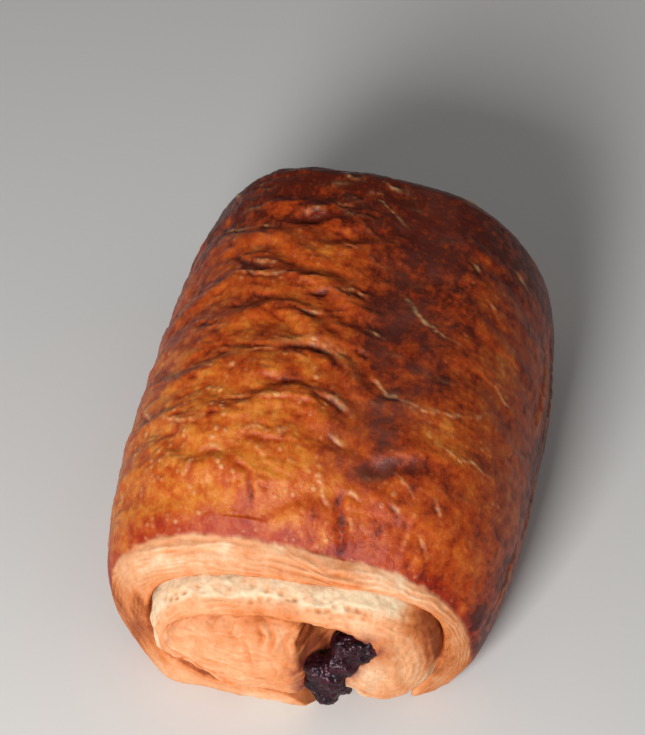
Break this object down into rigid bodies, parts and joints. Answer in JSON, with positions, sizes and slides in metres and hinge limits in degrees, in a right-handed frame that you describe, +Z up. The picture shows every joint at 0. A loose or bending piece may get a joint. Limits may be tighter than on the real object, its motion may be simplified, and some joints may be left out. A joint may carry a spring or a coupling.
{
  "type": "pain au chocolat",
  "caption": "Baked roll of laminated dough wound round a chocolate filling, pillow-shaped, with a browned crust and open spiral ends.",
  "frame": {"origin": "centre of the bounding box in X and Y, on the resting face at z = 0", "axes": "+Y along the roll from its shown end to its far end, +X across it to the right as seen from the shown end, +Z up"},
  "size_m": [0.079, 0.1079, 0.0488],
  "materials": {
    "crust": "egg-washed browned crust with a soft gloss, paler layered dough at the ends",
    "chocolate": "dark baked chocolate, wet-looking and lumpy where it has boiled out"
  },
  "bodies": {
    "root": {"pastry": "crust", "chocolate": "chocolate"}
  },
  "joints": []
}
